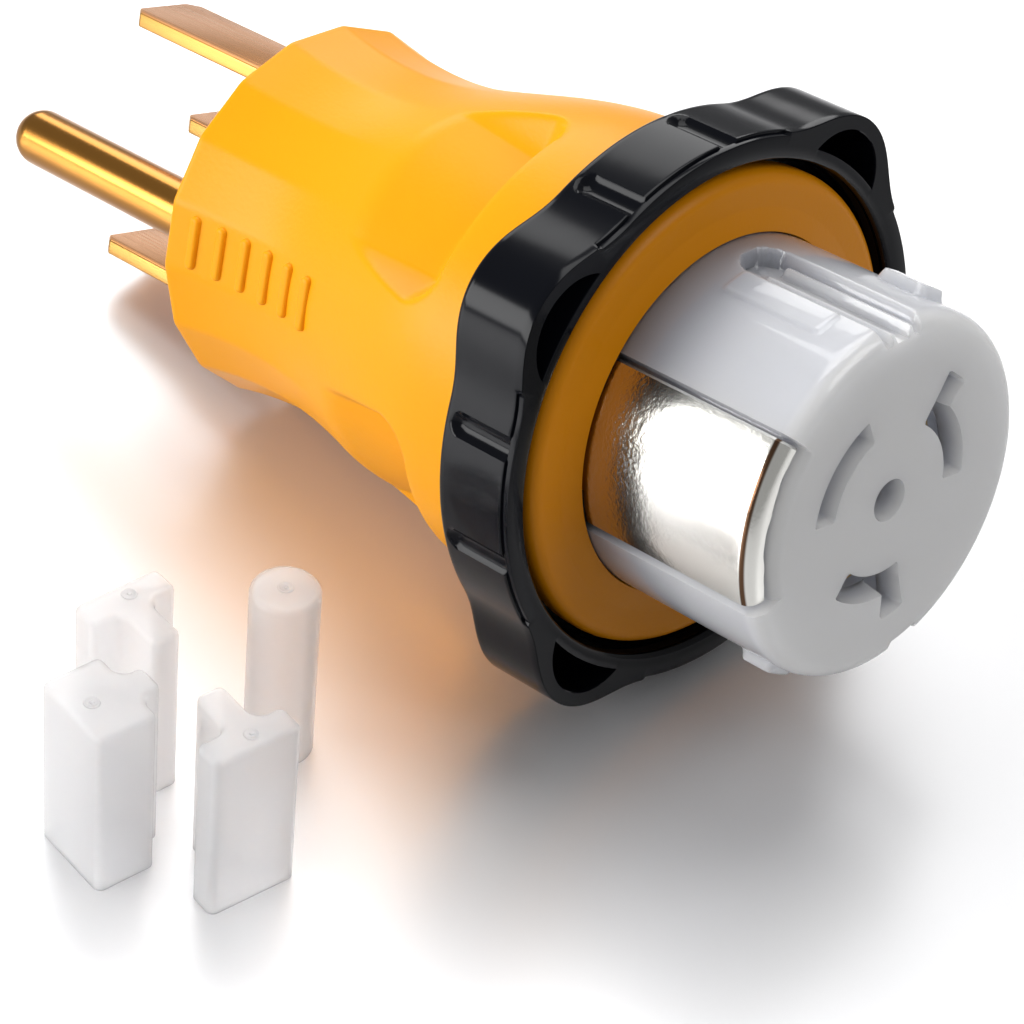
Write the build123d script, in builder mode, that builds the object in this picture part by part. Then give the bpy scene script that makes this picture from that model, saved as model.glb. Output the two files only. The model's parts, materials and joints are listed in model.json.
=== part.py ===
from build123d import *
from math import atan2, cos, degrees, pi, radians, sin
import os

# Plug-to-connector adapter with a turning locking ring, and the four caps taken off its prongs.
# Millimetres. Stations run along the adapter's axis from the flange face, positive toward the
# connector. Clock angles are seen from the connector, 0 toward +Y and 90 upward.

# Moulded body
plug_end = 75.0
plug_radius = 26.6
end_edge = 0.6
plug_sides = 18
plug_clock = 168.8
facet_fade_start = -70.0
facet_fade_end = -42.0
waist_radius = 24.8
waist_station = -60.0
shoulder_radius = 31.3
shoulder_station = -21.0
shoulder_front = -13.0
neck_radius = 29.2
flange_radius = 31.8
flange_thickness = 4.0
flange_round = 1.9
crown_height = 0.8
crown_radius = 27.0

# Finger scoops in the flare
scoop_count = 4
scoop_clock = 122.0
scoop_flat_span = 40.0
scoop_full_span = 66.0
scoop_rear = -43.0
scoop_middle = -28.5
scoop_rise = -25.8
scoop_front = -23.6
scoop_floor = 25.3

# Grip ribs on one facet
rib_count = 6
rib_pitch = 4.5
rib_length = 7.4
rib_width = 1.5
rib_height = 0.6
rib_first = -70.6

# Cavities of the body
cavity_radius = 21.6
insert_depth = 9.0
pocket_back = -24.0
moulding_gap = 0.1

# Plug insert and prongs
insert_radius = 23.4
insert_recess = 0.4
blade_width = 11.4
blade_thickness = 2.1
blade_length = 35.2
blade_taper = 1.8
blade_nose = 8.4
blade_edge = 0.4
hot_offset = 16.9
neutral_offset = 12.2
pin_radius = 3.95
pin_length = 39.5
pin_offset = 18.3
pin_seat = 0.4
foot_height = 3.0
foot_margin = 0.8
cup_radius = 3.0
cup_bore = 2.0
cup_length = 8.0
cup_depth = 5.0

# Locking ring
ring_radius = 36.8
ring_back = 11.4
ring_front = 0.3
ring_edge = 0.8
lobe_count = 4
lobe_clock = 51.2
lobe_reach = 4.4
lobe_radius = 9.5
lobe_blend = 6.0
lobe_wall = 1.8
pocket_floor = 3.0
pocket_corner = 0.8
ring_wall = 3.5
lip_thickness = 3.2
collar_wall = 1.7
groove_radius = 2.0
groove_near = 26.2
groove_far = 51.4
groove_length = 8.6
groove_sink = 1.1
step_middle = 41.4
step_span = 53.0
step_depth = 0.9
step_width = 0.7
ring_clearance = 0.3

# Connector barrel
barrel_radius = 24.0
barrel_length = 28.8
barrel_wall = 3.4
face_wall = 3.5
face_round = 2.4
collar_step = 2.4
collar_front = -16.0
collar_back = -20.0
window_clock = 169.5
window_span = 58.0
window_depth = 1.6
lip_round = 1.6
key_clock = 90.0
key_width = 7.0
key_depth = 2.2
key_rear = 4.0
key_floor = 1.6
key_rail = 0.7
rail_height = 1.3
low_key_clock = 283.6
low_key_width = 5.4
low_key_depth = 2.3
pad_clock = 104.0
pad_width = 4.0
pad_length = 15.0
pad_height = 0.35
latch_clock = 60.0
latch_width = 5.0
latch_length = 7.0
latch_front = 23.0
latch_height = 1.4
bump_clock = 242.0
bump_station = 21.3

# Face slots and contacts
slot_inner = 10.2
slot_width = 3.2
slot_wing = 17.0
wing_span = 12.0
hole_radius = 2.6
neutral_slot = (113.0, 174.0)
hot_x_slot = (-4.0, 56.0)
hot_y_slot = (231.0, 284.0)
leaf_thickness = 0.5
leaf_margin = 3.0
contact_front = 23.0
contact_foot = 1.5

# Contact carrier and its screws
carrier_front = -3.0
carrier_thickness = 5.0
carrier_seat = 1.0
tail_radius = 3.0
tail_end = -16.0
tail_depth = 6.0
screw_circle = 16.5
screw_clocks = (78.0, 209.0, 321.0)
screw_radius = 1.5
screw_head_radius = 2.8
screw_head_height = 1.9
screw_length = 14.0
boss_radius = 3.2

# Ground shell plate
plate_thickness = 1.2
plate_gap = 0.05
plate_side_gap = 0.7
plate_front = 27.7
plate_roll = 2.0
lip_depth = 1.7
strap_span = 30.0
strap_end = -23.2
strap_foot = 15.0

# Leads between the prongs and the contacts
wire_radius = 1.9
jacket_radius = 2.6
jacket_setback = 1.0
lead_straight = 9.0
ground_lead_radius = 17.2

# Prong caps, standing on the floor on their open ends
cap_wall = 0.45
cap_play = 0.05
cap_bar = 4.4
cap_block = 8.4
cap_stem = 4.0
cap_height = 25.4
cap_corner = 1.1
pin_cap_height = 26.4
gate_radius = 0.9
gate_depth = 0.25

# How the adapter lies: rolled a little from the clock angles' upright
rest_roll = 5.0

# The adapter lies on a corner of its plug end and on its ring, so its axis leans back a little
rest_span = (plug_end - end_edge) - (ring_back - ring_edge)
lean = degrees(atan2(ring_radius - plug_radius, rest_span))
axis_height = ring_radius * cos(radians(lean)) + (ring_back - ring_edge) * sin(radians(lean))
axis_way = Vector(cos(radians(lean)), 0, sin(radians(lean)))
upright = Plane(origin=(0, 0, axis_height), x_dir=(0, 1, 0), z_dir=axis_way)
roll_way = upright.x_dir * cos(radians(rest_roll)) - upright.y_dir * sin(radians(rest_roll))
adapter = Plane(origin=upright.origin, x_dir=roll_way, z_dir=axis_way)
main_axis = Axis(adapter.origin, axis_way)

pieces = []


def finish(name, part):
    part.label = name
    pieces.append(part)


def station(along):
    # Cross-section plane at a station, local x at clock 0 and local y at clock 90
    return adapter.offset(along)


def out_way(clock):
    return adapter.x_dir * cos(radians(clock)) + adapter.y_dir * sin(radians(clock))


def turned(clock):
    # Plane through the axis, local x along the axis and local y outward at the clock angle
    return Plane(origin=adapter.origin, x_dir=axis_way, z_dir=axis_way.cross(out_way(clock)))


def tangent(clock, along, radius):
    # Plane that faces outward, local x along the axis
    where = adapter.origin + axis_way * along + out_way(clock) * radius
    return Plane(origin=where, x_dir=axis_way, z_dir=out_way(clock))


def at(clock, radius):
    return (radius * cos(radians(clock)), radius * sin(radians(clock)))


def body_radius(along):
    # Corner radius of the moulding: narrowest at the waist, flaring to the shoulder
    if along < waist_station:
        part_way = (waist_station - along) / (waist_station + plug_end)
        return waist_radius + (plug_radius - waist_radius) * part_way**2
    part_way = min(1.0, (along - waist_station) / (shoulder_station - waist_station))
    return waist_radius + (shoulder_radius - waist_radius) * sin(pi / 2 * part_way) ** 2


def facet_bulge(along):
    # 0 where a facet is flat, 1 where it has become part of a round
    part_way = (along - facet_fade_start) / (facet_fade_end - facet_fade_start)
    return min(1.0, max(0.0, part_way))


def facet_radius(along):
    # Distance from the axis to the middle of a facet
    corner = body_radius(along)
    flat = corner * cos(pi / plug_sides)
    return flat + (corner - flat) * facet_bulge(along)


def faceted(corner, bulge):
    flat = corner * cos(pi / plug_sides)
    middle = flat + (corner - flat) * bulge
    half = 180 / plug_sides
    with BuildSketch() as outline:
        with BuildLine():
            for number in range(plug_sides):
                clock = plug_clock + 2 * half * number
                if bulge > 0:
                    ThreePointArc(at(clock - half, corner), at(clock, middle), at(clock + half, corner))
                else:
                    Line(at(clock - half, corner), at(clock + half, corner))
        make_face()
    return outline.sketch


def scoop_section(depth):
    # Section of a finger scoop in a plane through the axis, for a share of its full depth
    middle_surface = body_radius(scoop_middle)
    middle = middle_surface - (middle_surface - scoop_floor) * depth
    rise = middle + (body_radius(scoop_rise) - middle) * 0.3
    clear = shoulder_radius + 3
    rear_top = body_radius(scoop_rear)
    front_top = body_radius(scoop_front)
    lift = 0.2
    with BuildSketch() as outline:
        with BuildLine():
            Line((scoop_rear, rear_top + lift), (scoop_middle, middle))
            ThreePointArc((scoop_middle, middle), (scoop_rise, rise), (scoop_front, front_top + lift))
            Line((scoop_front, front_top + lift), (scoop_front, clear))
            Line((scoop_front, clear), (scoop_rear, clear))
            Line((scoop_rear, clear), (scoop_rear, rear_top + lift))
        make_face()
    return outline.sketch


# Body: one moulding, faceted at the plug, waisted, flared to a shoulder, then the ring's neck and the flange
body_stations = [-plug_end + end_edge, -70.0, -64.0, -57.0, -50.0, -42.0, -34.0, -27.0, shoulder_station, shoulder_front]
bore_radius = barrel_radius + moulding_gap
collar_radius = barrel_radius + collar_step
with BuildPart() as body_shell:
    for along in body_stations:
        with BuildSketch(station(along)):
            add(faceted(body_radius(along), facet_bulge(along)))
    loft()
    for along, corner in ((-plug_end, plug_radius - end_edge), (-plug_end + end_edge, plug_radius)):
        with BuildSketch(station(along)):
            add(faceted(corner, 0))
    loft(ruled=True)
    with BuildSketch(turned(90)) as flange_profile:
        with BuildLine():
            Polyline(
                (shoulder_front - 1, 0),
                (shoulder_front - 1, neck_radius),
                (-flange_thickness, neck_radius),
                (-flange_thickness, flange_radius),
                (0, flange_radius),
                (0, crown_radius),
                (crown_height, bore_radius),
                (crown_height, 0),
                close=True,
            )
        make_face()
        fillet(flange_profile.vertices().sort_by(Axis.Y)[-2:].sort_by(Axis.X)[-1], flange_round)
    revolve(axis=main_axis)
    for number in range(scoop_count):
        middle_clock = scoop_clock + 360 / scoop_count * number
        flat, full = scoop_flat_span / 2, scoop_full_span / 2
        for offset_clock, depth in ((-full, -0.1), (-flat, 1), (-flat / 3, 1), (flat / 3, 1), (flat, 1), (full, -0.1)):
            with BuildSketch(turned(middle_clock + offset_clock)):
                add(scoop_section(depth))
        loft(mode=Mode.SUBTRACT)
    for number in range(rib_count):
        along = rib_first + rib_pitch * number
        with BuildSketch(tangent(plug_clock, along, cavity_radius + 2)):
            SlotOverall(rib_length, rib_width, rotation=90)
        extrude(amount=facet_radius(along) + rib_height - cavity_radius - 2)
    with BuildSketch(turned(90)):
        with BuildLine():
            Polyline(
                (-plug_end, 0),
                (-plug_end, insert_radius + moulding_gap),
                (-plug_end + insert_depth, insert_radius + moulding_gap),
                (-plug_end + insert_depth, cavity_radius),
                (pocket_back, cavity_radius),
                (pocket_back, collar_radius + moulding_gap),
                (collar_front, collar_radius + moulding_gap),
                (collar_front, bore_radius),
                (crown_height, bore_radius),
                (crown_height, 0),
                close=True,
            )
        make_face()
    revolve(axis=main_axis, mode=Mode.SUBTRACT)
finish("body_shell", body_shell.part)

# Plug insert: the disc that carries the prongs, closed behind by the body's inner shoulder
insert_back = -plug_end + insert_depth
insert_face = -plug_end + insert_recess
blade_places = {
    "blade_hot_x": (plug_clock - 90, hot_offset),
    "blade_hot_y": (plug_clock + 90, hot_offset),
    "blade_neutral": (plug_clock + 180, neutral_offset),
}
with BuildPart() as plug_insert:
    with BuildSketch(station(insert_face)):
        Circle(insert_radius)
    extrude(amount=insert_back - insert_face)
    chamfer(plug_insert.faces().sort_by(main_axis)[0].edges(), end_edge)
    for clock, distance in blade_places.values():
        with BuildSketch(station(insert_face)):
            with Locations(at(clock, distance)):
                Rectangle(blade_width + moulding_gap, blade_thickness + moulding_gap, rotation=plug_clock)
        extrude(amount=insert_back - insert_face, mode=Mode.SUBTRACT)
        with BuildSketch(station(insert_back)):
            with Locations(at(clock, distance)):
                Rectangle(
                    blade_width + 2 * foot_margin + moulding_gap,
                    blade_thickness + 2 * foot_margin + moulding_gap,
                    rotation=plug_clock,
                )
        extrude(amount=-foot_height, mode=Mode.SUBTRACT)
    with BuildSketch(station(insert_face)):
        with Locations(at(plug_clock, pin_offset)):
            Circle(pin_radius + pin_seat + moulding_gap / 2)
    extrude(amount=insert_back - insert_face, mode=Mode.SUBTRACT)
    with BuildSketch(station(insert_back)):
        with Locations(at(plug_clock, pin_offset)):
            Circle(pin_radius + foot_margin + moulding_gap / 2)
    extrude(amount=-foot_height, mode=Mode.SUBTRACT)
finish("plug_insert", plug_insert.part)

# Flat blades: a foot trapped in the insert, a solder cup behind it and a narrowed nose
blade_tip = -plug_end - blade_length
for name, (clock, distance) in blade_places.items():
    centre = at(clock, distance)
    blade_middle = adapter.origin + adapter.x_dir * centre[0] + adapter.y_dir * centre[1]
    flat_plane = Plane(origin=blade_middle, x_dir=axis_way, z_dir=axis_way.cross(out_way(plug_clock)))
    with BuildPart() as blade:
        with BuildSketch(flat_plane):
            with BuildLine():
                Polyline(
                    (insert_back, -blade_width / 2),
                    (insert_back, blade_width / 2),
                    (blade_tip + blade_taper, blade_width / 2),
                    (blade_tip, blade_nose / 2),
                    (blade_tip, -blade_nose / 2),
                    (blade_tip + blade_taper, -blade_width / 2),
                    close=True,
                )
            make_face()
        extrude(amount=blade_thickness / 2, both=True)
        chamfer(blade.faces().sort_by(main_axis)[0].edges(), blade_edge)
        with BuildSketch(station(insert_back)):
            with Locations(centre):
                Rectangle(
                    blade_width + 2 * foot_margin, blade_thickness + 2 * foot_margin, rotation=plug_clock
                )
        extrude(amount=-foot_height)
        with BuildSketch(station(insert_back)):
            with Locations(centre):
                Circle(cup_radius)
        extrude(amount=cup_length)
        with BuildSketch(station(insert_back + cup_length)):
            with Locations(centre):
                Circle(cup_bore)
        extrude(amount=-cup_depth, mode=Mode.SUBTRACT)
    finish(name, blade.part)

# Ground pin: a round pin with a domed nose, longer than the blades
pin_centre = at(plug_clock, pin_offset)
pin_middle = adapter.origin + adapter.x_dir * pin_centre[0] + adapter.y_dir * pin_centre[1]
pin_plane = Plane(origin=pin_middle, x_dir=axis_way, z_dir=turned(plug_clock).z_dir)
with BuildPart() as ground_pin:
    with BuildSketch(pin_plane):
        with BuildLine():
            nose = -plug_end - pin_length
            RadiusArc((nose, 0), (nose + pin_radius, pin_radius), pin_radius)
            Polyline(
                (nose + pin_radius, pin_radius),
                (insert_face, pin_radius),
                (insert_face, pin_radius + pin_seat),
                (insert_back - foot_height, pin_radius + pin_seat),
                (insert_back - foot_height, pin_radius + foot_margin),
                (insert_back, pin_radius + foot_margin),
                (insert_back, cup_radius),
                (insert_back + cup_length, cup_radius),
                (insert_back + cup_length, cup_bore),
                (insert_back + cup_length - cup_depth, cup_bore),
                (insert_back + cup_length - cup_depth, 0),
                (nose, 0),
            )
        make_face()
    revolve(axis=Axis(pin_middle, axis_way))
finish("ground_pin", ground_pin.part)


lobe_offset = ring_radius + lobe_reach - lobe_radius
thread_radius = ring_radius - ring_wall


def lobed(radius, offset_in):
    # The ring's outline: a round with four lobes, drawn in by a wall for the pockets
    with BuildSketch() as outline:
        Circle(radius)
        with PolarLocations(lobe_offset, lobe_count, start_angle=lobe_clock):
            Circle(lobe_radius - offset_in)
        fillet(outline.vertices(), lobe_blend)
    return outline.sketch


# Locking ring: hollow lobes, grip grooves between them, a rear lip round the neck and a threaded bore
groove_zone = 360 / lobe_count
thread_back = -ring_back + lip_thickness
with BuildPart() as locking_ring:
    with BuildSketch(station(-ring_back)):
        add(lobed(ring_radius, 0))
    extrude(amount=ring_back + ring_front)
    chamfer(locking_ring.faces().sort_by(main_axis)[0].edges(), ring_edge)
    with BuildSketch(station(-ring_back)):
        Circle(neck_radius + ring_clearance)
    extrude(amount=lip_thickness, mode=Mode.SUBTRACT)
    with BuildSketch(station(thread_back)):
        Circle(thread_radius)
    extrude(amount=ring_back + ring_front, mode=Mode.SUBTRACT)
    with BuildSketch(station(-ring_back + pocket_floor)) as pockets:
        with PolarLocations(lobe_offset, lobe_count, start_angle=lobe_clock):
            Circle(lobe_radius - lobe_wall)
        Circle(thread_radius + collar_wall, mode=Mode.SUBTRACT)
        fillet(pockets.vertices(), pocket_corner)
    extrude(amount=ring_back + ring_front, mode=Mode.SUBTRACT)
    for lobe in (lobe_clock + groove_zone, lobe_clock + 3 * groove_zone):
        for spread in (-step_middle, step_middle):
            with BuildSketch(turned(lobe + spread - step_span / 2)):
                with Locations((ring_front, ring_radius)):
                    Rectangle(2 * step_depth, 2 * step_width)
            revolve(axis=main_axis, revolution_arc=step_span, mode=Mode.SUBTRACT)
        for spread in (-groove_far, -groove_near, groove_near, groove_far):
            with BuildSketch(station(ring_front - groove_length)):
                with Locations(at(lobe + spread, ring_radius + groove_sink)):
                    Circle(groove_radius)
            extrude(amount=2 * groove_length, mode=Mode.SUBTRACT)
            with Locations(tangent(lobe + spread, ring_front - groove_length, ring_radius + groove_sink)):
                Sphere(groove_radius, mode=Mode.SUBTRACT)
finish("locking_ring", locking_ring.part)

# Connector barrel: a translucent cup with a rear collar, a window for the ground plate, keyways and slots
inner_radius = barrel_radius - barrel_wall
carrier_bore = inner_radius + carrier_seat
face_back = barrel_length - face_wall
window_floor = barrel_radius - window_depth
window_end = barrel_length + 1
lip_floor = window_floor - lip_depth
lip_back = plate_front - plate_thickness - moulding_gap
lip_bend = plate_roll - plate_thickness
key_centre = (key_rear + barrel_length) / 2
key_run = barrel_length - key_rear


def slot_shape(span, wing):
    # One curved face slot, with an outward wing at one end of some of them
    start, end = span
    outer = slot_inner + slot_width
    with BuildSketch() as outline:
        with BuildLine():
            CenterArc((0, 0), slot_inner, start, end - start)
            CenterArc((0, 0), outer, start, end - start)
            Line(at(start, slot_inner), at(start, outer))
            Line(at(end, slot_inner), at(end, outer))
        make_face()
        if wing:
            with BuildLine():
                Polyline(
                    at(end - wing_span, slot_inner + slot_width / 2),
                    at(end - wing_span, slot_wing),
                    at(end, slot_wing),
                    at(end, slot_inner + slot_width / 2),
                    close=True,
                )
            make_face()
    return outline.sketch


with BuildPart() as connector_barrel:
    with BuildSketch(turned(90)) as barrel_profile:
        with BuildLine():
            Polyline(
                (collar_back, carrier_bore),
                (collar_back, collar_radius),
                (collar_front, collar_radius),
                (collar_front, barrel_radius),
                (barrel_length, barrel_radius),
                (barrel_length, 0),
                (face_back, 0),
                (face_back, inner_radius),
                (carrier_front, inner_radius),
                (carrier_front, carrier_bore),
                close=True,
            )
        make_face()
        outer_corner = barrel_profile.vertices().sort_by(Axis.X)[-2:].sort_by(Axis.Y)[-1]
        fillet(outer_corner, face_round)
    revolve(axis=main_axis)
    for clock in screw_clocks:
        with BuildSketch(station(carrier_front)):
            with Locations(at(clock, screw_circle)):
                Circle(boss_radius)
        extrude(until=Until.NEXT)
    with BuildSketch(tangent(key_clock, (carrier_front + face_back) / 2, barrel_radius - key_depth)):
        Rectangle(face_back - carrier_front, key_width + 2 * key_floor)
    extrude(amount=-key_floor)
    with BuildSketch(tangent(key_clock, key_centre, barrel_radius - key_depth)):
        with Locations((barrel_length - key_centre, 0)):
            SlotOverall(2 * key_run, key_width)
    extrude(amount=2 * key_depth, mode=Mode.SUBTRACT)
    with BuildSketch(tangent(key_clock, key_centre, barrel_radius - key_depth)):
        with Locations((key_width / 2, 0)):
            with GridLocations(0, key_width / 2, 1, 2):
                Rectangle(key_run - key_width, key_rail)
    extrude(amount=rail_height)
    low_key_floor = barrel_radius - low_key_depth
    with BuildSketch(tangent(low_key_clock, (carrier_front + face_back) / 2, low_key_floor)):
        Rectangle(face_back - carrier_front, low_key_width + 2 * key_floor)
    extrude(amount=-key_floor)
    with BuildSketch(tangent(low_key_clock, key_centre, low_key_floor)):
        with Locations((barrel_length - key_centre, 0)):
            SlotOverall(2 * key_run - key_width, low_key_width)
    extrude(amount=2 * low_key_depth, mode=Mode.SUBTRACT)
    with BuildSketch(tangent(pad_clock, barrel_length / 2, inner_radius + 1)):
        Rectangle(pad_length, pad_width)
    extrude(amount=barrel_wall - 1 + pad_height)
    with BuildSketch(tangent(latch_clock, latch_front - latch_length / 2, inner_radius + 1)):
        RectangleRounded(latch_length, latch_width, 1)
    extrude(amount=barrel_wall - 1 + latch_height)
    with BuildSketch(tangent(bump_clock, bump_station, inner_radius + 1)):
        RectangleRounded(latch_width, latch_width, 1)
    extrude(amount=barrel_wall - 1 + latch_height)
    with BuildSketch(turned(window_clock - window_span / 2)):
        with BuildLine():
            Polyline(
                (0, window_floor), (0, collar_radius), (window_end, collar_radius), (window_end, window_floor),
                close=True,
            )
        make_face()
    revolve(axis=main_axis, revolution_arc=window_span, mode=Mode.SUBTRACT)
    with BuildSketch(turned(window_clock - window_span / 2)):
        with BuildLine():
            CenterArc((barrel_length - lip_round, lip_floor - lip_round), lip_round, 0, 90)
            Polyline(
                (barrel_length - lip_round, lip_floor),
                (lip_back, lip_floor),
                (lip_back, window_floor - lip_bend),
                (lip_back - lip_bend, window_floor),
                (lip_back - lip_bend, collar_radius),
                (window_end, collar_radius),
                (window_end, lip_floor - lip_round),
                (barrel_length, lip_floor - lip_round),
            )
        make_face()
    revolve(axis=main_axis, revolution_arc=window_span, mode=Mode.SUBTRACT)
    strap_slot = strap_span + 2 * plate_side_gap
    with BuildSketch(turned(window_clock - strap_slot / 2)):
        with BuildLine():
            Polyline(
                (collar_back - 1, window_floor), (collar_back - 1, collar_radius + 1),
                (1, collar_radius + 1), (1, window_floor),
                close=True,
            )
        make_face()
    revolve(axis=main_axis, revolution_arc=strap_slot, mode=Mode.SUBTRACT)
    with BuildSketch(station(face_back - 1)):
        Circle(hole_radius)
        add(slot_shape(neutral_slot, False))
        add(slot_shape(hot_x_slot, True))
        add(slot_shape(hot_y_slot, True))
    extrude(amount=face_wall + 2, mode=Mode.SUBTRACT)
    for clock in screw_clocks:
        with BuildSketch(station(carrier_front)):
            with Locations(at(clock, screw_circle)):
                Circle(screw_radius + plate_gap)
        extrude(amount=screw_length - carrier_thickness + 1, mode=Mode.SUBTRACT)
finish("connector_barrel", connector_barrel.part)

# Contact carrier: the disc that closes the barrel behind and holds the three contacts
carrier_back = carrier_front - carrier_thickness
contact_spans = {
    "contact_hot_x": hot_x_slot,
    "contact_hot_y": hot_y_slot,
    "contact_neutral": neutral_slot,
}
slot_middle = slot_inner + slot_width / 2
with BuildPart() as contact_carrier:
    with BuildSketch(station(carrier_back)):
        Circle(carrier_bore - moulding_gap)
        for start, end in contact_spans.values():
            with Locations(at((start + end) / 2, slot_middle)):
                Circle(tail_radius + moulding_gap / 2, mode=Mode.SUBTRACT)
        for clock in screw_clocks:
            with Locations(at(clock, screw_circle)):
                Circle(screw_radius + moulding_gap, mode=Mode.SUBTRACT)
    extrude(amount=carrier_thickness)
finish("contact_carrier", contact_carrier.part)

# Contacts: two curved leaves that grip a blade behind each slot, on a foot with a soldering tail
for name, (start, end) in contact_spans.items():
    first, span = start + leaf_margin, end - start - 2 * leaf_margin
    leaf_in, leaf_out = slot_inner - leaf_thickness, slot_inner + slot_width
    with BuildPart() as contact:
        with BuildSketch(turned(first)):
            with BuildLine():
                Polyline(
                    (carrier_front, leaf_in),
                    (carrier_front, leaf_out + leaf_thickness),
                    (contact_front, leaf_out + leaf_thickness),
                    (contact_front, leaf_out),
                    (carrier_front + contact_foot, leaf_out),
                    (carrier_front + contact_foot, slot_inner),
                    (contact_front, slot_inner),
                    (contact_front, leaf_in),
                    close=True,
                )
            make_face()
        revolve(axis=main_axis, revolution_arc=span)
        with BuildSketch(station(carrier_front)):
            with Locations(at((start + end) / 2, slot_middle)):
                Circle(tail_radius)
        extrude(amount=tail_end - carrier_front)
        with BuildSketch(station(tail_end)):
            with Locations(at((start + end) / 2, slot_middle)):
                Circle(cup_bore)
        extrude(amount=tail_depth, mode=Mode.SUBTRACT)
    finish(name, contact.part)

# Screws that hold the carrier to the barrel's bosses
with BuildPart() as carrier_screws:
    for clock in screw_clocks:
        with BuildSketch(station(carrier_back)):
            with Locations(at(clock, screw_circle)):
                Circle(screw_radius)
        extrude(amount=screw_length)
        with BuildSketch(station(carrier_back)):
            with Locations(at(clock, screw_circle)):
                Circle(screw_head_radius)
        extrude(amount=-screw_head_height)
        with BuildSketch(station(carrier_back - screw_head_height)):
            with Locations(at(clock, screw_circle)):
                RegularPolygon(screw_radius, 6)
        extrude(amount=screw_head_height / 2, mode=Mode.SUBTRACT)
finish("carrier_screws", carrier_screws.part)

# Ground shell plate: pressed sheet bent to the barrel's round, rolled in at its front, with a rear strap
plate_in = window_floor + plate_gap
plate_out = plate_in + plate_thickness
lip_reach = lip_floor + plate_gap
plate_span = window_span - 2 * plate_side_gap
with BuildPart() as ground_plate:
    with BuildSketch(turned(window_clock - plate_span / 2)) as plate_profile:
        with BuildLine():
            Polyline(
                (plate_side_gap / 2, plate_in),
                (plate_side_gap / 2, plate_out),
                (plate_front, plate_out),
                (plate_front, lip_reach),
                (plate_front - plate_thickness, lip_reach),
                (plate_front - plate_thickness, plate_in),
                close=True,
            )
        make_face()
        fillet(plate_profile.vertices().sort_by(Axis.X)[-2:].sort_by(Axis.Y)[-1], plate_roll)
        inner_bend = plate_profile.vertices().sort_by_distance((plate_front - plate_thickness, plate_in))[0]
        fillet(inner_bend, lip_bend)
    revolve(axis=main_axis, revolution_arc=plate_span)
    with BuildSketch(turned(window_clock - strap_span / 2)):
        with BuildLine():
            Polyline(
                (plate_side_gap / 2, plate_out),
                (strap_end, plate_out),
                (strap_end, strap_foot),
                (strap_end + plate_thickness, strap_foot),
                (strap_end + plate_thickness, plate_in),
                (plate_side_gap / 2, plate_in),
                close=True,
            )
        make_face()
    revolve(axis=main_axis, revolution_arc=strap_span)
finish("ground_plate", ground_plate.part)


def along_point(clock, radius, along):
    return adapter.origin + out_way(clock) * radius + axis_way * along


def make_lead(name, start_clock, start_radius, end_clock, end_radius, start_along, end_along, end_straight):
    # A soldered wire: bare in the cups and jacketed between them, straight, across, straight
    rear_turn = insert_back + cup_length + lead_straight
    front_turn = end_along - end_straight
    middle = [
        along_point(start_clock, start_radius, rear_turn),
        along_point(end_clock, end_radius, front_turn),
    ]
    slant = (middle[1] - middle[0]).get_angle(axis_way)
    bend = 0.45 * min(lead_straight, end_straight) / max(0.05, sin(radians(slant)))
    jacket_start = insert_back + cup_length + jacket_setback
    jacket_end = front_turn + end_straight / 2
    with BuildPart() as lead:
        for first, last, radius in (
            (start_along, end_along, wire_radius),
            (jacket_start, jacket_end, jacket_radius),
        ):
            ends = [along_point(start_clock, start_radius, first), along_point(end_clock, end_radius, last)]
            with BuildLine():
                route = FilletPolyline(ends[0], *middle, ends[1], radius=bend)
            with BuildSketch(Plane(origin=ends[0], x_dir=adapter.x_dir, z_dir=axis_way)):
                Circle(radius)
            sweep(path=route)
    finish(name, lead.part)


# Leads: soldered into the prongs' cups behind and the contacts' tails, or the plate's foot, in front
lead_start = insert_back + cup_length - cup_depth
for phase in ("hot_x", "hot_y", "neutral"):
    blade_clock, blade_radius = blade_places["blade_" + phase]
    start, end = contact_spans["contact_" + phase]
    make_lead(
        "lead_" + phase, blade_clock, blade_radius, (start + end) / 2, slot_middle,
        lead_start, tail_end + tail_depth, tail_depth + lead_straight,
    )
make_lead(
    "lead_ground", plug_clock, pin_offset, window_clock, ground_lead_radius,
    lead_start, strap_end, lead_straight,
)


def cap_shape(place, heading, bars, inset):
    # Plan of a blade cap: rectangular bars as (middle, size) pairs, drawn in by an inset all round
    with BuildSketch() as outline:
        with Locations(Location(place, heading)):
            for middle, size in bars:
                with Locations(middle):
                    Rectangle(size[0] - 2 * inset, size[1] - 2 * inset)
        fillet(outline.vertices(), cap_corner - inset / 2)
    return outline.sketch


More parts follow.
